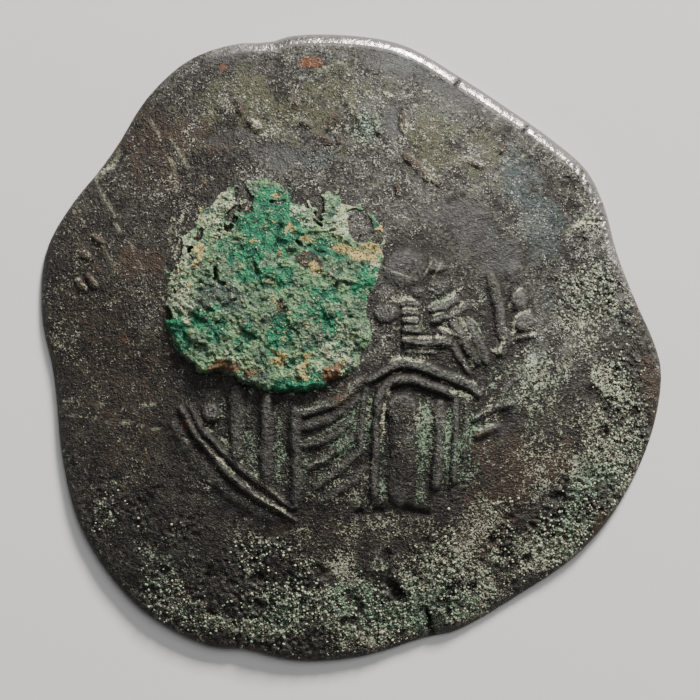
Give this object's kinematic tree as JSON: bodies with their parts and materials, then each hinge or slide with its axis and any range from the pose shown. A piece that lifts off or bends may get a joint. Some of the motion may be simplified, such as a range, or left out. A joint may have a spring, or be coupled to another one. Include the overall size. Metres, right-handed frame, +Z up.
{
  "type": "trachy coin",
  "caption": "Worn cup-shaped copper-alloy coin with an enthroned robed figure on its dome, a green corrosion crust and a plain cross in its hollow.",
  "frame": {"origin": "middle of the coin's footprint, on the surface that its rim rests on", "axes": "+Z up out of the domed side, +Y towards the figure's head, +X to the right of the figure as seen"},
  "size_m": [0.029, 0.0294, 0.0042],
  "materials": {
    "patinated_metal": "dark grey-brown patina, worn smooth on the relief, with pale green and cream deposits in the hollows and rust at the rim",
    "corrosion_crust": "rough granular malachite green with ochre and pale specks"
  },
  "bodies": {
    "root": {"trachy_coin": "patinated_metal"}
  },
  "joints": []
}
